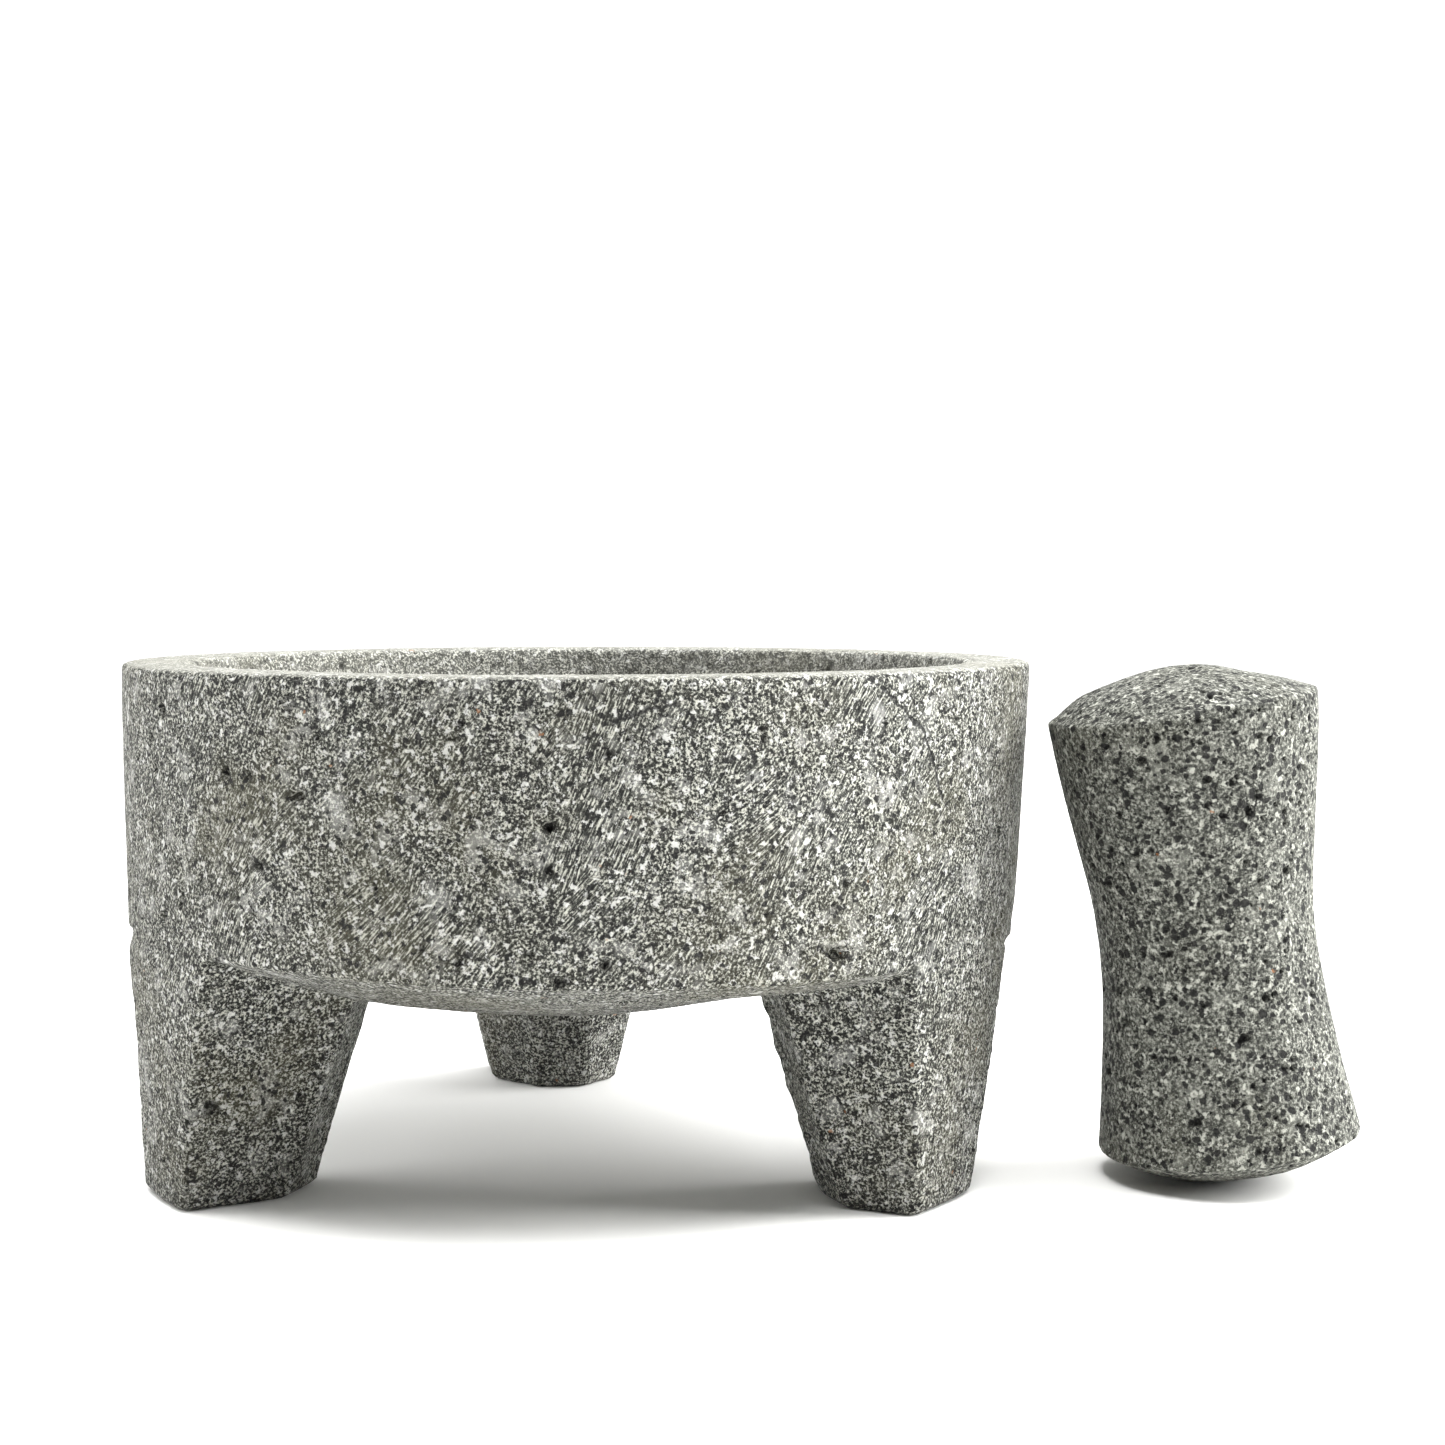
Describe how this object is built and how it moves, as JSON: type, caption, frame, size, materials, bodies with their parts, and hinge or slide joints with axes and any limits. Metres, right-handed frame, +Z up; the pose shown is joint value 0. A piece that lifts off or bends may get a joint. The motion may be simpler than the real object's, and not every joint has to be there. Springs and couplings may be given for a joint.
{
  "type": "molcajete",
  "caption": "Round basalt grinding bowl on short tapering legs, with a deep hollow and a thick level rim, and a waisted pestle with domed ends standing beside it.",
  "frame": {"origin": "on the floor, straight under the centre of the mortar's rim", "axes": "+Z up, square to the level rim; +X from the mortar to the pestle that stands beside it; +Y towards the mortar's back leg"},
  "size_m": [0.2665, 0.2, 0.1107],
  "materials": {
    "mortar_basalt": "matt, sawn and ground, fine grained",
    "pestle_basalt": "matt, pecked and ground, open pores"
  },
  "bodies": {
    "mortar": {"mortar": "mortar_basalt"},
    "pestle": {"pestle": "pestle_basalt"}
  },
  "joints": [
    {"name": "pestle_lift", "type": "slide", "parent": "mortar", "child": "pestle", "axis": [0, 0, 1], "range_m": [0, 0.16]}
  ]
}
